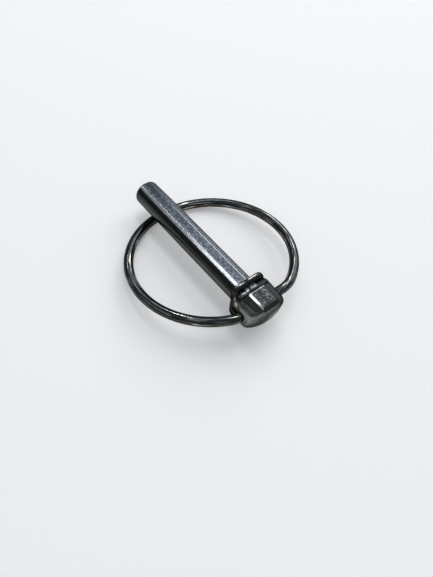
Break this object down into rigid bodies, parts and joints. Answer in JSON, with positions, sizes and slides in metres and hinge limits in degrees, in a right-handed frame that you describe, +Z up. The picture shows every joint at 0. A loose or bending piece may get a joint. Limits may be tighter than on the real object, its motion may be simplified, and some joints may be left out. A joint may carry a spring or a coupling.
{
  "type": "lynch pin",
  "caption": "Forged round retaining pin with a flared, padded head and a hinged round-wire snap ring that closes under the shank near its tip.",
  "frame": {"origin": "middle of the overall outline in X and Y, on the floor the pin lies on", "axes": "+X along the shank towards its tip, +Y across the shank along the ring's hinge, +Z up out of the head's pad"},
  "size_m": [0.0576, 0.0508, 0.013],
  "materials": {
    "plated_forging": "bright zinc plate over a forged surface, lightly speckled on the pressed faces",
    "plated_wire": "smooth bright zinc plate on drawn spring wire"
  },
  "bodies": {
    "pin": {"pin_body": "plated_forging"},
    "ring": {"snap_ring": "plated_wire"}
  },
  "joints": [
    {"name": "ring_hinge", "type": "hinge", "parent": "pin", "child": "ring", "pos_m": [-0.02385, 0.00195, 0.00717], "axis": [0, 1, 0], "range_deg": [0, 346]}
  ]
}
